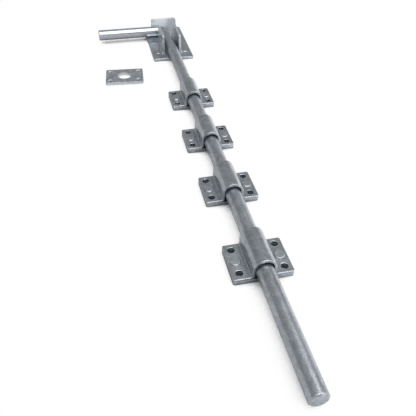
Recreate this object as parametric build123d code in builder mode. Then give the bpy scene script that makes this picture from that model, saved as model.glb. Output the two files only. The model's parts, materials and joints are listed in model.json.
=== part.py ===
from build123d import *

import os

# Drop bolt for a gate, in millimetres. The bolt lies as it is screwed to the gate's face:
# Z points out of that face, Y runs along the bar towards the handle, and X is to the right.
# The origin is on the gate's face, under the bar, at the middle of the top bracket's screws.

os.makedirs("parts", exist_ok=True)

# Bar
bar_diameter = 20.0
bar_length = 838.0           # from the tip to the outside of the bend
bar_end_chamfer = 1.5
handle_reach = 136.0         # from the bar's axis to the end of the handle
bend_radius = 16.0           # of the bar's centre line
bend_lead = 10.0             # straight length between the turning joint and the bend
bar_lift = 0.3               # running gap between the bar and the plates that it lies on

# Steel plates and straps
plate_thickness = 5.0
strap_thickness = 3.0
strike_thickness = 5.0
screw_hole_diameter = 8.5
plate_corner_radius = 2.5
weld_leg = 3.0               # side of the fillet weld at the foot of each upright

# Top bracket
bracket_width = 76.5
bracket_length = 158.0
bracket_screw_spacing_x = 53.5
bracket_screw_spacing_y = 110.0
cheek_thickness = 4.0
cheek_height = 35.0          # above the back plate
cheek_length = 60.0
cheek_setback = 21.5         # from the bracket's front edge
cheek_gap = 28.0             # between the two cheeks
cheek_corner_radius = 2.0
stop_thickness = 4.0
stop_width = 51.5
stop_height = 30.5           # above the back plate
stop_corner_radius = 4.0
stop_setback = 31.0          # from the bracket's rear edge to the stop's front face
stop_clearance = 3.0         # between the raised handle and the stop

# Bar guides
guide_1_distance = 246.5      # from the top bracket's middle to each guide's middle
guide_2_distance = 371.5
guide_3_distance = 493.0
guide_4_distance = 622.0
guide_width = 68.0
guide_length = 52.0
guide_screw_spacing_x = 50.5
guide_screw_spacing_y = 34.5
strap_side_clearance = 0.5    # between the bar and each leg of the strap
strap_headroom = 3.0          # between the bar and the strap's crown
strap_fold_radius = 3.5       # of the strap's centre line, at each foot
rivet_spacing = 50.5
rivet_shank_diameter = 8.0
rivet_head_diameter = 13.0
rivet_head_height = 1.2
rivet_head_bevel = 0.9        # around the head's rim
rivet_hole_clearance = 0.05   # around the shank

# Strike plate, which lies loose beside the bolt
strike_width = 66.0
strike_length = 52.0
strike_bore_diameter = 24.5
strike_centre = (-100.5, -137.3)
strike_turn = -4.5            # degrees about Z

# Worked out from the sizes above
bar_radius = bar_diameter / 2
bar_axis_z = plate_thickness + bar_lift + bar_radius
cheek_front_y = -bracket_length / 2 + cheek_setback
stop_front_y = bracket_length / 2 - stop_setback
handle_axis_y = stop_front_y - stop_clearance - bar_radius
bend_start_y = handle_axis_y - bend_radius
joint_y = bend_start_y - bend_lead
bar_tip_y = handle_axis_y + bar_radius - bar_length
guide_distances = (guide_1_distance, guide_2_distance, guide_3_distance, guide_4_distance)
strap_leg_x = bar_radius + strap_side_clearance + strap_thickness / 2
strap_foot_x = strap_leg_x + strap_fold_radius
strap_flange_z = plate_thickness + strap_thickness / 2
strap_crown_z = bar_axis_z + bar_radius + strap_headroom - (strap_leg_x - strap_thickness / 2)
strap_top_z = plate_thickness + strap_thickness


def face_on(y):
    """The upright plane across the bar at y, with its own Y pointing up."""
    return Plane(origin=(0, y, 0), x_dir=(1, 0, 0), z_dir=(0, -1, 0))


def floor_at(y, z=0.0):
    """The level plane at height z with its origin under the bar at y."""
    return Plane(origin=(0, y, z))


def save(piece, node):
    piece.part.label = node
    export_step(piece.part, f"parts/{node}.step")


def make_bolt_rod():
    """The straight round bar, from its tip to the plane where the handle begins."""
    with BuildPart() as rod:
        with BuildSketch(Plane.XZ.offset(-bar_tip_y)):
            with Locations((0, bar_axis_z)):
                Circle(bar_radius)
        extrude(amount=bar_tip_y - joint_y)
        tip = rod.edges().filter_by(GeomType.CIRCLE).sort_by(Axis.Y)[0]
        chamfer(tip, length=bar_end_chamfer)
    save(rod, "bolt_rod")


def make_pull_handle():
    """The bar's end: a short straight lead, the bend, and the grip that points to -X."""
    with BuildPart() as handle:
        with BuildLine(Plane.XY.offset(bar_axis_z)):
            lead = Line((0, joint_y), (0, bend_start_y))
            bend = JernArc(start=lead @ 1, tangent=lead % 1, radius=bend_radius, arc_size=90)
            Line(bend @ 1, (-handle_reach, handle_axis_y))
        with BuildSketch(face_on(joint_y)):
            with Locations((0, bar_axis_z)):
                Circle(bar_radius)
        sweep()
        grip_end = handle.edges().filter_by(GeomType.CIRCLE).sort_by(Axis.X)[0]
        chamfer(grip_end, length=bar_end_chamfer)
    save(handle, "pull_handle")


def make_bracket_plate():
    """The top bracket's back plate, which is screwed to the gate by its corners."""
    with BuildPart() as plate:
        with BuildSketch():
            RectangleRounded(bracket_width, bracket_length, plate_corner_radius)
            with GridLocations(bracket_screw_spacing_x, bracket_screw_spacing_y, 2, 2):
                Circle(screw_hole_diameter / 2, mode=Mode.SUBTRACT)
        extrude(amount=plate_thickness)
    save(plate, "top_bracket_plate")


def make_cheek(side, node):
    """One upright wall beside the bar, with its fillet weld along the outer foot."""
    inner_x = cheek_gap / 2
    outer_x = inner_x + cheek_thickness
    top_z = plate_thickness + cheek_height
    with BuildPart() as cheek:
        with BuildSketch(face_on(cheek_front_y)):
            with BuildLine():
                Polyline(
                    (side * inner_x, plate_thickness),
                    (side * (outer_x + weld_leg), plate_thickness),
                    (side * outer_x, plate_thickness + weld_leg),
                    (side * outer_x, top_z),
                    (side * inner_x, top_z),
                    close=True,
                )
            make_face()
        extrude(amount=-cheek_length)
        across = cheek.edges().filter_by(Axis.X).group_by(Axis.Z)[-1]
        fillet(across, radius=cheek_corner_radius)
    save(cheek, node)


def make_stop_plate():
    """The upright plate across the bar's end, with its fillet weld along the rear foot."""
    rear_y = stop_front_y + stop_thickness
    with BuildPart() as stop:
        with BuildSketch(face_on(stop_front_y)) as outline:
            with Locations((0, plate_thickness)):
                Rectangle(stop_width, stop_height, align=(Align.CENTER, Align.MIN))
            upper_corners = outline.vertices().group_by(Axis.Y)[-1]
            fillet(upper_corners, radius=stop_corner_radius)
        extrude(amount=-stop_thickness)
        with BuildSketch(Plane.YZ.offset(-stop_width / 2)):
            with BuildLine():
                Polyline(
                    (rear_y, plate_thickness),
                    (rear_y + weld_leg, plate_thickness),
                    (rear_y, plate_thickness + weld_leg),
                    close=True,
                )
            make_face()
        extrude(amount=stop_width)
    save(stop, "stop_plate")


def make_guide_plate(middle_y, node):
    """A guide's flat back plate, with four screw holes and two rivet holes."""
    with BuildPart() as plate:
        with BuildSketch(floor_at(middle_y)):
            RectangleRounded(guide_width, guide_length, plate_corner_radius)
            with GridLocations(guide_screw_spacing_x, guide_screw_spacing_y, 2, 2):
                Circle(screw_hole_diameter / 2, mode=Mode.SUBTRACT)
            with GridLocations(rivet_spacing, 0, 2, 1):
                Circle(rivet_shank_diameter / 2 + rivet_hole_clearance, mode=Mode.SUBTRACT)
        extrude(amount=plate_thickness)
    save(plate, node)


def make_guide_strap(middle_y, node):
    """A guide's strap: flat steel bent over the bar, with a flange to each side."""
    with BuildPart() as strap:
        with BuildSketch(face_on(middle_y)):
            with BuildLine() as centre_line:
                left_flange = Line((-guide_width / 2, strap_flange_z), (-strap_foot_x, strap_flange_z))
                left_fold = JernArc(left_flange @ 1, left_flange % 1, strap_fold_radius, 90)
                left_leg = Line(left_fold @ 1, (-strap_leg_x, strap_crown_z))
                crown = JernArc(left_leg @ 1, left_leg % 1, strap_leg_x, -180)
                right_leg = Line(crown @ 1, (strap_leg_x, strap_flange_z + strap_fold_radius))
                right_fold = JernArc(right_leg @ 1, right_leg % 1, strap_fold_radius, 90)
                Line(right_fold @ 1, (guide_width / 2, strap_flange_z))
            trace(line_width=strap_thickness)
        extrude(amount=guide_length / 2, both=True)
        outer_corners = strap.edges().filter_by(Axis.Z).group_by(Axis.X)
        fillet(outer_corners[0] + outer_corners[-1], radius=plate_corner_radius)
        with Locations((0, middle_y, strap_flange_z)):
            with GridLocations(guide_screw_spacing_x, guide_screw_spacing_y, 2, 2):
                Cylinder(screw_hole_diameter / 2, 2 * strap_thickness, mode=Mode.SUBTRACT)
            with GridLocations(rivet_spacing, 0, 2, 1):
                rivet_hole_radius = rivet_shank_diameter / 2 + rivet_hole_clearance
                Cylinder(rivet_hole_radius, 2 * strap_thickness, mode=Mode.SUBTRACT)
    save(strap, node)


def make_guide_rivet(side, middle_y, node):
    """One rivet that holds a strap's flange on its plate, flush below and with a low head above."""
    rivet_x = side * rivet_spacing / 2
    with BuildPart() as rivet:
        with BuildSketch(floor_at(middle_y)):
            with Locations((rivet_x, 0)):
                Circle(rivet_shank_diameter / 2)
        extrude(amount=strap_top_z)
        with BuildSketch(floor_at(middle_y, strap_top_z)):
            with Locations((rivet_x, 0)):
                Circle(rivet_head_diameter / 2)
        extrude(amount=rivet_head_height)
        rim = rivet.edges().filter_by(GeomType.CIRCLE).sort_by(Axis.Z)[-1]
        chamfer(rim, length=rivet_head_bevel)
    save(rivet, node)


def make_strike_plate():
    """The loose strike plate, bored for the bar's tip, with a screw hole in each corner."""
    lie = Plane(origin=(*strike_centre, 0)).rotated((0, 0, strike_turn))
    with BuildPart() as strike:
        with BuildSketch(lie):
            RectangleRounded(strike_width, strike_length, plate_corner_radius)
            Circle(strike_bore_diameter / 2, mode=Mode.SUBTRACT)
            with GridLocations(guide_screw_spacing_x, guide_screw_spacing_y, 2, 2):
                Circle(screw_hole_diameter / 2, mode=Mode.SUBTRACT)
        extrude(amount=strike_thickness)
    save(strike, "strike_plate")


make_bolt_rod()
make_pull_handle()
make_bracket_plate()
make_cheek(-1, "left_cheek")
make_cheek(1, "right_cheek")
make_stop_plate()
for number, distance in enumerate(guide_distances, 1):
    guide_y = -distance
    make_guide_plate(guide_y, f"guide_{number}_plate")
    make_guide_strap(guide_y, f"guide_{number}_strap")
    make_guide_rivet(-1, guide_y, f"guide_{number}_left_rivet")
    make_guide_rivet(1, guide_y, f"guide_{number}_right_rivet")
make_strike_plate()
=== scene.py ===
import json
from math import cos, pi, radians, sin

import bmesh
import bpy
from mathutils import Matrix, Vector


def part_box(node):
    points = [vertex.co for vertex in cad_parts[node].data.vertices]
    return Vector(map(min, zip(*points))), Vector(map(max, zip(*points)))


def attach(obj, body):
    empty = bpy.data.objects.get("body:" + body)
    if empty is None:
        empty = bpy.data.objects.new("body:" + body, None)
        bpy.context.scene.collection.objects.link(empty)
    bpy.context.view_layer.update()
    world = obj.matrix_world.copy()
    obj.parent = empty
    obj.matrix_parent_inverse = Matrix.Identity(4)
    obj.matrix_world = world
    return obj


# The look of a hot-dip galvanised drop bolt that lies on a white studio floor, in metres.

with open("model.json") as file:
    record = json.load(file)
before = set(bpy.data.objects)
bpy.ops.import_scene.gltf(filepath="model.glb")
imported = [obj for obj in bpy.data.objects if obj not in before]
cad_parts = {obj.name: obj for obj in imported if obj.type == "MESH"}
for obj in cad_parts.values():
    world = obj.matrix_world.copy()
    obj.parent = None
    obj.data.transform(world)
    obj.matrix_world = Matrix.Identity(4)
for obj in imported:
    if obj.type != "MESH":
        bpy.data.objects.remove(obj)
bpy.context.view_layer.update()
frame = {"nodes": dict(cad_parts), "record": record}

MM = 0.001

# Camera, at the angle from which the bolt was photographed
IMAGE_SIZE = 416
FOCAL_PIXELS = 477.6
SENSOR_WIDTH = 36.0
CAMERA_PLACE = Vector((-0.13607, -0.95965, 0.39181))
CAMERA_YAW = radians(13.284)            # to the right of +Y
CAMERA_PITCH = radians(40.944)          # below the horizon
CAMERA_ROLL = radians(0.813)

# Floor
FLOOR_DEPTH = 0.05 * MM                 # just under the plates' backs
FLOOR_SIDE = 12.0
FLOOR_WHITE = (0.97, 0.97, 0.97, 1.0)
HOLE_PAINTED_SHADE = (0.20, 0.23, 0.27, 1.0)    # the floor's colour at the bottom of a screw hole: painted shade
HOLE_OPENNESS = (0.25, 0.50)            # how open the floor lies inside a hole, and outside it
FLOOR_GLOW = 0.93                       # share of plain white in what the camera sees of the floor
MIRRORED_GLOW = 0.75                    # and in what the metal reflects of it
CONTACT_REACH = 22.0 * MM               # how near the metal the mirrored floor is dimmed: painted shade
CONTACT_POWER = 2.0
FLOOR_TONES = (0.50, 1.10)              # painted shade of the mirrored floor, left and right of the bar
FLOOR_FADE = (-0.04, 0.03)
FRONT_TONES = (0.60, 1.00)              # and painted shade of what lies before the bar's tip, as a share
FRONT_FADE = (-0.88, -0.80)

# Room. A direction is given by its X, Y and Z, each from -1 to 1
ROOM_TONES = ((0.0, 1.05), (0.08, 1.05), (0.22, 0.42), (0.38, 0.36), (0.50, 0.31), (0.64, 0.36),
              (0.85, 0.40), (1.0, 0.42))    # by Z, from the horizon to straight overhead
LEFT_TONE = 0.80                        # of the room's left side, as a share of its right side's
LEFT_FADE = (-0.8, 0.4)                 # in X
SCREEN_TONE = 0.85                      # of a white screen that stands low, in front to the right
SCREEN_SIDE = (0.30, 0.50)              # where it begins, in X
SCREEN_FRONT = (0.15, -0.05)            # in Y
SCREEN_TOP = (0.40, 0.60)               # and where it ends, in Z
SOFTBOX_SIZE = (8.0, 6.0)
SOFTBOX_PLACE = Vector((1.30, -2.00, 5.50))
SOFTBOX_AIM = Vector((0.0, -0.35, 0.0))
SOFTBOX_POWER = 370.0

# Lips of zinc in the screw holes of the top bracket and the strike plate. The profile goes round
# a lip's section: how far in from the hole's wall and how far below the plate's top, in millimetres
LIP_PROFILE = ((0.02, 0.10), (0.45, 0.42), (0.95, 0.90), (1.45, 1.55), (1.70, 2.20), (0.02, 2.90))
LIP_SIDES = 48
STRIKE_SCREWS = 4

# Weld beads at the inner feet of the cheeks
WELD_LEG = 2.6 * MM
WELD_RUN = 6.0 * MM                     # how far a bead runs on in front of its cheek
WELD_RINGS = 120
WELD_STEPS = 6
WELD_HOLLOW = 0.25                      # how far a bead's face dips between its legs
WELD_RIPPLES = 17
WELD_RIPPLE = 0.07
WELD_TAPER = 16.0                       # each end narrows over one part in 16 of the length
WELD_END = 0.15                         # size of the bead at its very ends

# Zinc, from dull grey to bright, with the painted shade and the painted light that are laid into
# hollows
ZINC_DARK = (0.350, 0.378, 0.410, 1.0)
ZINC_MID = (0.520, 0.556, 0.604, 1.0)
ZINC_PALE = (0.670, 0.714, 0.766, 1.0)
# pale tone of edges: partly rubbed zinc, partly a painted edge highlight
ZINC_EDGE = (0.760, 0.800, 0.835, 1.0)
# painted shade: the dark tone laid into hollows, under the straps and along contact lines
ZINC_PAINTED_SHADE = (0.110, 0.130, 0.160, 1.0)
# painted light: the pale, less metallic tone laid into the hollows of the bracket and the strike
# plate
ZINC_PAINTED_LIGHT = (0.800, 0.840, 0.880, 1.0)

# Zinc's texture
GRAIN_SIZE = 1.3 * MM
BLOTCH_SIZE = 5.0 * MM
WAVE_SIZE = 11.0 * MM
SEED_STEP = (0.37, 0.21, 0.13)          # how far each seed lies from the last in the noise
SHADER_SAMPLES = 6
PATCH_RANGE = (0.35, 0.68)              # of the noise that takes the patches from dark to mid grey
BLOTCH_RANGE = (0.42, 0.72)             # and the blotches from mid grey to pale
BLOTCH_SHARE = 0.75
CRYSTAL_SHARES = (-0.20, 0.30)          # how much paler each crystal is, at least and at most
GRAIN_RANGE = (0.30, 0.75)
GRAIN_SHARE = 0.6                       # how much of the dark grey the grain lets through
EDGE_LIKENESS = (0.985, 0.80)           # of a face's direction and its rounded one, off and on edges
RUBBING_AND_HIGHLIGHT_RANGE = (0.30, 0.60)
DULL_RANGE = (0.3, 0.7)
WORN_POLISH = 0.12                      # how much smoother a rubbed, highlighted edge is
GRAIN_DULLNESS = 0.05                   # how much rougher or smoother the grain makes a spot
GRAIN_HEIGHT = 0.6                      # of the grain, beside the blotches' 1
GRAIN_STRENGTH = 0.55
CAVITY_REACH = 11.0 * MM                # how deep a hollow is before its tone changes
STOP_PATCH = (-0.008, 0.048, 0.031)     # centre of a painted reflection, the palest place on the stop plate's face
STOP_PATCH_REACH = (8.0 * MM, 24.0 * MM)
GRIP_FADE = (-0.032, -0.020)            # where the handle's grip, paler as rubbed zinc and partly as a painted highlight, meets its bend
BEND_PALE = -0.15                       # the bend is darker than plain zinc

# Sockets of Blender's Mix node for colours
MIX_FIRST = 6
MIX_SECOND = 7
MIX_RESULT = 2


def clear_tree(owner):
    """The empty node tree of a material or a world."""
    owner.use_nodes = True
    owner.node_tree.nodes.clear()
    return owner.node_tree


def link(tree, source, target):
    tree.links.new(source, target)


def add_node(tree, kind, **values):
    node = tree.nodes.new(kind)
    for name, value in values.items():
        setattr(node, name, value)
    return node


def noise(tree, place, size, detail=3.0, roughness=0.55):
    node = add_node(tree, "ShaderNodeTexNoise")
    node.inputs["Scale"].default_value = 1.0 / size
    node.inputs["Detail"].default_value = detail
    node.inputs["Roughness"].default_value = roughness
    link(tree, place, node.inputs["Vector"])
    return node.outputs["Fac"]


def split(tree, vector):
    """The X, Y and Z of a vector."""
    node = add_node(tree, "ShaderNodeSeparateXYZ")
    link(tree, vector, node.inputs["Vector"])
    return node.outputs


def stretch(tree, source, from_low, from_high, to_low, to_high):
    """A value moved from one range to another, and kept inside it."""
    node = add_node(tree, "ShaderNodeMapRange")
    for name, value in (("From Min", from_low), ("From Max", from_high),
                        ("To Min", to_low), ("To Max", to_high)):
        node.inputs[name].default_value = value
    link(tree, source, node.inputs["Value"])
    return node.outputs["Result"]


def combine(tree, operation, first, second):
    node = add_node(tree, "ShaderNodeMath", operation=operation)
    for socket, value in zip(node.inputs, (first, second)):
        if isinstance(value, float):
            socket.default_value = value
        else:
            link(tree, value, socket)
    return node.outputs["Value"]


def blend_colours(tree, share, first, second):
    node = add_node(tree, "ShaderNodeMix", data_type="RGBA")
    link(tree, share, node.inputs["Factor"])
    for socket, value in ((node.inputs[MIX_FIRST], first), (node.inputs[MIX_SECOND], second)):
        if isinstance(value, tuple):
            socket.default_value = value
        else:
            link(tree, value, socket)
    return node.outputs[MIX_RESULT]


def blend_shaders(tree, share, first, second):
    node = add_node(tree, "ShaderNodeMixShader")
    for socket, source in zip(node.inputs, (share, first, second)):
        link(tree, source, socket)
    return node.outputs["Shader"]


def add_bump(tree, height, normal, distance):
    node = add_node(tree, "ShaderNodeBump")
    node.inputs["Distance"].default_value = distance
    link(tree, height, node.inputs["Height"])
    link(tree, normal, node.inputs["Normal"])
    return node


def find_crystals(tree, place, size):
    """A tone of its own for each crystal of the spangle."""
    crystals = add_node(tree, "ShaderNodeTexVoronoi")
    crystals.inputs["Scale"].default_value = 1.0 / size
    link(tree, place, crystals.inputs["Vector"])
    tone = add_node(tree, "ShaderNodeSeparateColor")
    link(tree, crystals.outputs["Color"], tone.inputs["Color"])
    return tone.outputs["Red"]


def find_edges(tree, rounded):
    """1 on an edge and 0 on a flat face, told by how far the edge's rounding turns the face."""
    surface = add_node(tree, "ShaderNodeNewGeometry")
    alike = add_node(tree, "ShaderNodeVectorMath", operation="DOT_PRODUCT")
    link(tree, rounded, alike.inputs[0])
    link(tree, surface.outputs["Normal"], alike.inputs[1])
    return stretch(tree, alike.outputs["Value"], *EDGE_LIKENESS, 0.0, 1.0)


def find_hollows(tree, position, cavity, hollow_range, painted_reflection_patch):
    """How much of the hollow tone lies on each place, with a painted reflection of it round a given
    point.
    """
    hollow = add_node(tree, "ShaderNodeAmbientOcclusion", samples=SHADER_SAMPLES)
    hollow.inputs["Distance"].default_value = CAVITY_REACH
    in_hollow = stretch(tree, hollow.outputs["AO"], *hollow_range, cavity, 0.0)
    if not painted_reflection_patch:
        return in_hollow
    from_patch = add_node(tree, "ShaderNodeVectorMath", operation="DISTANCE")
    from_patch.inputs[1].default_value = painted_reflection_patch
    link(tree, position, from_patch.inputs[0])
    near_patch = stretch(tree, from_patch.outputs["Value"], *STOP_PATCH_REACH, 1.0, 0.0)
    return combine(tree, "MAXIMUM", in_hollow, near_patch)


def make_zinc(name, seed, spangle=7.0, cloud=32.0, grain_depth=0.05, wave_depth=0.12,
              streak=(1.0, 1.0, 1.0), roughness=(0.30, 0.44), edge_radius=1.2, cavity=0.85,
              hollow_tone=ZINC_PAINTED_SHADE, hollow_range=(0.15, 0.70), pale=0.0, metal=0.92, contrast=1.0,
              painted_reflection_patch=None, grip_pale=0.0, rubbing_and_highlight=(0.10, 0.40)):
    """Hot-dip galvanised steel: crystal spangle, cloudy grey patches, fine grain and rubbed edges
    that also carry a painted highlight.

    spangle, cloud, the two depths and edge_radius are in millimetres. A streak below 1 draws the
    pattern out along X, Y or Z. Hollows get painted shade, dark as ash, or painted light, pale and
    less metallic, and a painted reflection can be laid round one given point.
    """
    material = bpy.data.materials.new(name)
    tree = clear_tree(material)
    coordinates = add_node(tree, "ShaderNodeTexCoord")
    position = coordinates.outputs["Object"]
    mapping = add_node(tree, "ShaderNodeMapping")
    mapping.inputs["Location"].default_value = [seed * step for step in SEED_STEP]
    mapping.inputs["Scale"].default_value = streak
    link(tree, position, mapping.inputs["Vector"])
    place = mapping.outputs["Vector"]

    patches = noise(tree, place, cloud * MM, detail=4.0, roughness=0.6)
    crystals = find_crystals(tree, place, spangle * MM)
    grain = noise(tree, place, GRAIN_SIZE, detail=4.0, roughness=0.7)
    blotches = noise(tree, place, BLOTCH_SIZE, roughness=0.6)

    base = blend_colours(tree, stretch(tree, patches, *PATCH_RANGE, 0.0, 1.0), ZINC_DARK, ZINC_MID)
    pale_share = combine(
        tree, "ADD",
        stretch(tree, blotches, *BLOTCH_RANGE, pale, pale + BLOTCH_SHARE * contrast),
        stretch(tree, crystals, 0.0, 1.0, *(share * contrast for share in CRYSTAL_SHARES)))
    if grip_pale:
        grip = stretch(tree, split(tree, position)["X"], *GRIP_FADE, grip_pale, BEND_PALE)
        pale_share = combine(tree, "ADD", pale_share, grip)
    mottled = blend_colours(tree, stretch(tree, pale_share, 0.0, 1.0, 0.0, 1.0), base, ZINC_PALE)
    dark_share = stretch(tree, grain, *GRAIN_RANGE, 0.0, GRAIN_SHARE * contrast)
    grainy = blend_colours(tree, dark_share, mottled, ZINC_DARK)

    soft_edge = add_node(tree, "ShaderNodeBevel", samples=SHADER_SAMPLES)
    soft_edge.inputs["Radius"].default_value = edge_radius * MM
    rounded = soft_edge.outputs["Normal"]
    # edges are paled partly as rubbed zinc and partly as a painted edge highlight
    rubbed_and_highlighted_edge = combine(tree, "MULTIPLY", find_edges(tree, rounded),
                   stretch(tree, blotches, *RUBBING_AND_HIGHLIGHT_RANGE, *rubbing_and_highlight))
    bright = blend_colours(tree, rubbed_and_highlighted_edge, grainy, ZINC_EDGE)
    # the hollows get painted shade or painted light, as the material's hollow_tone gives
    in_hollow = find_hollows(tree, position, cavity, hollow_range, painted_reflection_patch)
    colour = blend_colours(tree, in_hollow, bright, hollow_tone)

    dull = stretch(tree, patches, *DULL_RANGE, *roughness)
    rough = combine(tree, "SUBTRACT", dull, stretch(tree, rubbed_and_highlighted_edge, 0.0, 1.0, 0.0, WORN_POLISH))
    rough = combine(tree, "ADD", rough,
                    stretch(tree, grain, *DULL_RANGE, -GRAIN_DULLNESS, GRAIN_DULLNESS))

    waves = add_bump(tree, noise(tree, place, WAVE_SIZE, detail=1.0), rounded, wave_depth * MM)
    height = combine(tree, "ADD",
                     stretch(tree, grain, 0.0, 1.0, 0.0, GRAIN_HEIGHT),
                     stretch(tree, blotches, 0.0, 1.0, 0.0, 1.0))
    relief = add_bump(tree, height, waves.outputs["Normal"], grain_depth * MM)
    relief.inputs["Strength"].default_value = GRAIN_STRENGTH

    shader = add_node(tree, "ShaderNodeBsdfPrincipled")
    shader.inputs["Metallic"].default_value = metal
    # where hollows get painted light, they are also made less metallic
    if hollow_tone == ZINC_PAINTED_LIGHT:
        link(tree, stretch(tree, in_hollow, 0.0, 1.0, metal, 0.0), shader.inputs["Metallic"])
    link(tree, colour, shader.inputs["Base Color"])
    link(tree, rough, shader.inputs["Roughness"])
    link(tree, relief.outputs["Normal"], shader.inputs["Normal"])
    output = add_node(tree, "ShaderNodeOutputMaterial")
    link(tree, shader.outputs["BSDF"], output.inputs["Surface"])
    return material


def dress_nodes():
    """Gives every node the finish of its material slot, or its own where it has one."""
    finishes = {
        # the bar's and the straps' edges carry a strong painted edge highlight besides rubbing
        "bar": make_zinc("zinc_bar", 1, spangle=6.0, cloud=26.0, streak=(1.0, 0.5, 1.0),
                         wave_depth=0.22, roughness=(0.30, 0.42), edge_radius=1.2, cavity=0.0,
                         pale=0.12, contrast=2.1, rubbing_and_highlight=(0.30, 0.80)),
        # painted light whitens the hollows of the top bracket and the strike plate's bore
        "bracket": make_zinc("zinc_bracket", 2, spangle=8.0, wave_depth=0.3,
                             roughness=(0.20, 0.34), edge_radius=2.2, cavity=0.5,
                             hollow_tone=ZINC_PAINTED_LIGHT),
        # painted shade darkens the hollows of the guides' plates and straps
        "guide_plate": make_zinc("zinc_guide_plate", 3, cavity=0.5),
        "guide_strap": make_zinc("zinc_guide_strap", 4, cloud=24.0, roughness=(0.20, 0.34),
                                 edge_radius=1.5, cavity=0.35, pale=-0.08, contrast=1.15,
                                 rubbing_and_highlight=(0.30, 0.85)),
        "rivet": make_zinc("zinc_rivet", 5, spangle=4.0, edge_radius=0.9, cavity=0.0),
        "strike": make_zinc("zinc_strike", 6, spangle=5.0, cloud=14.0, roughness=(0.36, 0.50),
                            cavity=1.0, hollow_tone=ZINC_PAINTED_LIGHT, hollow_range=(0.45, 0.80),
                            contrast=1.3),
    }
    # The cheeks and the stop plate get paler, less metallic copies of the bracket's zinc: painted
    # light on their upright faces.
    cheek = make_zinc("zinc_cheek", 9, spangle=8.0, wave_depth=0.4, roughness=(0.20, 0.34),
                      edge_radius=1.6, cavity=0.0, pale=0.35, metal=0.60)
    # the stop plate also carries a painted reflection, pale round STOP_PATCH
    stop = make_zinc("zinc_stop", 10, spangle=8.0, wave_depth=0.4, roughness=(0.20, 0.34),
                     edge_radius=1.6, cavity=0.0, pale=0.6, metal=0.45, hollow_tone=ZINC_PAINTED_LIGHT,
                     painted_reflection_patch=STOP_PATCH)
    # the grip's zinc is paler, partly rubbed and partly a painted highlight; its bend is darker
    grip = make_zinc("zinc_grip", 1, spangle=6.0, cloud=26.0, wave_depth=0.22,
                     roughness=(0.20, 0.32), edge_radius=0.8, cavity=0.25, contrast=1.2,
                     grip_pale=0.8)
    own_finishes = {"left_cheek": cheek, "right_cheek": cheek, "stop_plate": stop,
                    "pull_handle": grip}
    for subpart in frame["record"]["subparts"]:
        node = subpart["node"]
        finish = own_finishes.get(node, finishes[subpart["material_slot"]])
        for slot in frame["nodes"][node].material_slots:
            slot.material = finish


def place_object(name, data):
    thing = bpy.data.objects.new(name, data)
    bpy.context.scene.collection.objects.link(thing)
    return thing


def make_piece(name, vertices, faces, material):
    """A closed, smoothly shaded piece whose faces look outwards."""
    mesh = bpy.data.meshes.new(name)
    mesh.from_pydata(vertices, [], faces)
    shape = bmesh.new()
    shape.from_mesh(mesh)
    bmesh.ops.recalc_face_normals(shape, faces=shape.faces)
    shape.to_mesh(mesh)
    shape.free()
    mesh.shade_smooth()
    mesh.materials.append(material)
    return place_object(name, mesh)


def add_weld(node, side):
    """A rippled weld bead in the corner between a cheek's inner face and the plate."""
    cheek = frame["nodes"][node]
    corners = [cheek.matrix_world @ Vector(corner) for corner in cheek.bound_box]
    inner_x = min(side * corner.x for corner in corners)
    low_z = min(corner.z for corner in corners)
    start_y = min(corner.y for corner in corners) - WELD_RUN
    end_y = max(corner.y for corner in corners)
    vertices = []
    for ring in range(WELD_RINGS + 1):
        share = ring / WELD_RINGS
        taper = min(1.0, WELD_TAPER * share, WELD_TAPER * (1.0 - share)) ** 0.5
        ripple = 1.0 + WELD_RIPPLE * sin(2.0 * pi * share * WELD_RIPPLES)
        leg = WELD_LEG * ripple * max(taper, WELD_END)
        y = start_y + share * (end_y - start_y)
        vertices.append((side * inner_x, y, low_z))
        for step in range(WELD_STEPS + 1):
            turn = 0.5 * pi * step / WELD_STEPS
            reach = leg * (1.0 - WELD_HOLLOW * sin(2.0 * turn))
            vertices.append((side * (inner_x - reach * cos(turn)), y, low_z + reach * sin(turn)))
    size = WELD_STEPS + 2
    faces = []
    for ring in range(WELD_RINGS):
        for step in range(size):
            first, second = ring * size + step, ring * size + (step + 1) % size
            faces.append((first, second, second + size, first + size))
    faces += [tuple(range(size)), tuple(range(WELD_RINGS * size, (WELD_RINGS + 1) * size))]
    bead = make_zinc(node + "_weld", 7 + side, spangle=3.0, wave_depth=0.1,
                     roughness=(0.18, 0.30), edge_radius=0.3, cavity=0.0)
    weld = make_piece(node + "_weld", vertices, faces, bead)
    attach(weld, "fixed")


def add_lip(name, centre, hole_radius, top_z, material):
    """A ring of zinc inside a screw hole's rim, which narrows the hole downwards."""
    vertices, faces = [], []
    for inset, depth in LIP_PROFILE:
        radius = hole_radius - inset * MM
        for side in range(LIP_SIDES):
            turn = 2.0 * pi * side / LIP_SIDES
            vertices.append((centre.x + radius * cos(turn), centre.y + radius * sin(turn),
                             top_z - depth * MM))
    rows = len(LIP_PROFILE)
    for row in range(rows):
        for side in range(LIP_SIDES):
            after = (side + 1) % LIP_SIDES
            low, high = row * LIP_SIDES, (row + 1) % rows * LIP_SIDES
            faces.append((low + side, high + side, high + after, low + after))
    lip = make_piece(name, vertices, faces, material)
    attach(lip, "fixed")


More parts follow.
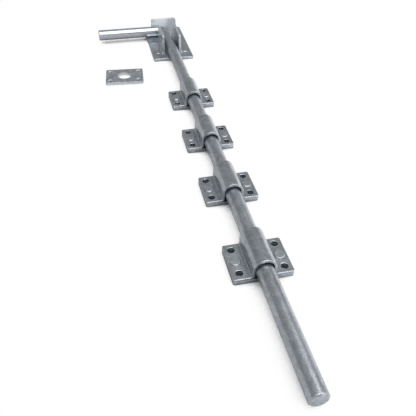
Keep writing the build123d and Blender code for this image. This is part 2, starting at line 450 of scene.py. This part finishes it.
def add_lips():
    """Lips in the top bracket's screw holes, painted bright with the palest, least metallic zinc,
    and duller ones in the strike plate's.
    """
    mounts = {mount["name"]: mount for mount in frame["record"]["mounts"]}
    # painted light: the bracket's lips are the palest, least metallic zinc
    bright = make_zinc("zinc_lip", 11, spangle=3.0, roughness=(0.30, 0.40), edge_radius=0.3,
                       cavity=0.0, pale=1.0, metal=0.4)
    dull = make_zinc("zinc_strike_lip", 12, spangle=3.0, roughness=(0.50, 0.64), edge_radius=0.3,
                     cavity=0.0, metal=0.3)
    screws = mounts["top_bracket_screws"]
    middle = Vector(screws["pos_m"])
    half_x = screws["dims"]["spacing_x_mm"] * MM / 2
    half_y = screws["dims"]["spacing_y_mm"] * MM / 2
    radius = screws["dims"]["hole_r_mm"] * MM
    top_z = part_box("top_bracket_plate")[1][2]
    corners = [(x, y) for y in (-half_y, half_y) for x in (-half_x, half_x)]
    for number, (x, y) in enumerate(corners, 1):
        add_lip(f"top_bracket_lip_{number}", middle + Vector((x, y, 0.0)), radius, top_z,
                bright)
    top_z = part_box("strike_plate")[1][2]
    for number in range(1, STRIKE_SCREWS + 1):
        screw = mounts[f"strike_screw_{number}"]
        radius = screw["dims"]["r_mm"] * MM
        add_lip(f"strike_lip_{number}", Vector(screw["pos_m"]), radius, top_z, dull)


def make_floor():
    """A white floor that the camera sees plain but for the bolt's shadow and painted shade in its
    screw holes.

    What the metal mirrors of it carries painted shade: it is dimmer close to the metal, to the left
    and in front.
    """
    mesh = bpy.data.meshes.new("floor")
    half = FLOOR_SIDE / 2
    corners = [(-half, -half), (half, -half), (half, half), (-half, half)]
    mesh.from_pydata([(x, y, -FLOOR_DEPTH) for x, y in corners], [], [(0, 1, 2, 3)])
    floor = place_object("floor", mesh)
    material = bpy.data.materials.new("white_floor")
    tree = clear_tree(material)
    contact = add_node(tree, "ShaderNodeAmbientOcclusion", samples=SHADER_SAMPLES)
    contact.inputs["Distance"].default_value = CONTACT_REACH
    openness = contact.outputs["AO"]
    # painted shade: in screw holes the floor's colour is darkened and the camera's plain white taken
    # away
    outside_holes = stretch(tree, openness, *HOLE_OPENNESS, 0.0, 1.0)
    matt = add_node(tree, "ShaderNodeBsdfDiffuse")
    link(tree, blend_colours(tree, outside_holes, HOLE_PAINTED_SHADE, FLOOR_WHITE), matt.inputs["Color"])

    place = split(tree, add_node(tree, "ShaderNodeTexCoord").outputs["Object"])
    # painted shade on the floor that the metal mirrors: dimmer near the metal, on the left and in
    # front
    tone = combine(tree, "MULTIPLY",
                   combine(tree, "POWER", openness, CONTACT_POWER),
                   stretch(tree, place["X"], *FLOOR_FADE, *FLOOR_TONES))
    tone = combine(tree, "MULTIPLY", tone, stretch(tree, place["Y"], *FRONT_FADE, *FRONT_TONES))
    ray = add_node(tree, "ShaderNodeLightPath").outputs
    mirrored = combine(tree, "MAXIMUM", ray["Is Glossy Ray"], ray["Is Transmission Ray"])
    seen = combine(tree, "MULTIPLY", ray["Is Camera Ray"], outside_holes)
    glow = add_node(tree, "ShaderNodeEmission")
    link(tree, combine(tree, "ADD", seen, combine(tree, "MULTIPLY", mirrored, tone)),
         glow.inputs["Strength"])
    share = combine(tree, "ADD",
                    combine(tree, "MULTIPLY", seen, FLOOR_GLOW),
                    combine(tree, "MULTIPLY", mirrored, MIRRORED_GLOW))
    output = add_node(tree, "ShaderNodeOutputMaterial")
    link(tree, blend_shaders(tree, share, matt.outputs["BSDF"], glow.outputs["Emission"]),
         output.inputs["Surface"])
    mesh.materials.append(material)


def light_room():
    """A pale room, white low down and dimmer above, which the camera sees as plain white."""
    world = bpy.data.worlds.new("studio")
    bpy.context.scene.world = world
    tree = clear_tree(world)
    coordinates = add_node(tree, "ShaderNodeTexCoord")
    direction = split(tree, coordinates.outputs["Generated"])
    fade = add_node(tree, "ShaderNodeValToRGB")
    ramp = fade.color_ramp
    while len(ramp.elements) < len(ROOM_TONES):
        ramp.elements.new(0.5)
    for element, (height, tone) in zip(ramp.elements, ROOM_TONES):
        element.position = height
        element.color = (tone, tone, tone, 1.0)
    link(tree, direction["Z"], fade.inputs["Fac"])
    room = add_node(tree, "ShaderNodeBackground")
    link(tree, fade.outputs["Color"], room.inputs["Color"])
    side_tone = stretch(tree, direction["X"], *LEFT_FADE, LEFT_TONE, 1.0)
    screen = combine(tree, "MULTIPLY",
                     stretch(tree, direction["X"], *SCREEN_SIDE, 0.0, SCREEN_TONE),
                     stretch(tree, direction["Y"], *SCREEN_FRONT, 0.0, 1.0))
    screen = combine(tree, "MULTIPLY", screen,
                     stretch(tree, direction["Z"], *SCREEN_TOP, 1.0, 0.0))
    link(tree, combine(tree, "ADD", side_tone, screen), room.inputs["Strength"])
    backdrop = add_node(tree, "ShaderNodeBackground")
    backdrop.inputs["Color"].default_value = (1.0, 1.0, 1.0, 1.0)
    ray = add_node(tree, "ShaderNodeLightPath")
    output = add_node(tree, "ShaderNodeOutputWorld")
    link(tree, blend_shaders(tree, ray.outputs["Is Camera Ray"], room.outputs["Background"],
                             backdrop.outputs["Background"]),
         output.inputs["Surface"])


def hang_softbox():
    """One large softbox overhead, a little to the right and in front."""
    lamp = bpy.data.lights.new("softbox", "AREA")
    lamp.shape = "RECTANGLE"
    lamp.size, lamp.size_y = SOFTBOX_SIZE
    lamp.energy = SOFTBOX_POWER
    softbox = place_object("softbox", lamp)
    softbox.location = SOFTBOX_PLACE
    softbox.rotation_euler = (SOFTBOX_AIM - SOFTBOX_PLACE).to_track_quat("-Z", "Y").to_euler()


def place_camera():
    data = bpy.data.cameras.new("camera")
    data.sensor_width = SENSOR_WIDTH
    data.lens = FOCAL_PIXELS / IMAGE_SIZE * SENSOR_WIDTH
    camera = place_object("camera", data)
    forward = Vector((sin(CAMERA_YAW) * cos(CAMERA_PITCH),
                      cos(CAMERA_YAW) * cos(CAMERA_PITCH),
                      -sin(CAMERA_PITCH)))
    level_right = Vector((cos(CAMERA_YAW), -sin(CAMERA_YAW), 0.0))
    level_up = level_right.cross(forward)
    right = cos(CAMERA_ROLL) * level_right + sin(CAMERA_ROLL) * level_up
    up = -sin(CAMERA_ROLL) * level_right + cos(CAMERA_ROLL) * level_up
    turn = Matrix((right, up, -forward)).transposed()
    camera.matrix_world = Matrix.Translation(CAMERA_PLACE) @ turn.to_4x4()
    bpy.context.scene.camera = camera


dress_nodes()
add_weld("left_cheek", -1)
add_weld("right_cheek", 1)
add_lips()
make_floor()
light_room()
hang_softbox()
place_camera()
bpy.context.scene.view_settings.view_transform = "Standard"
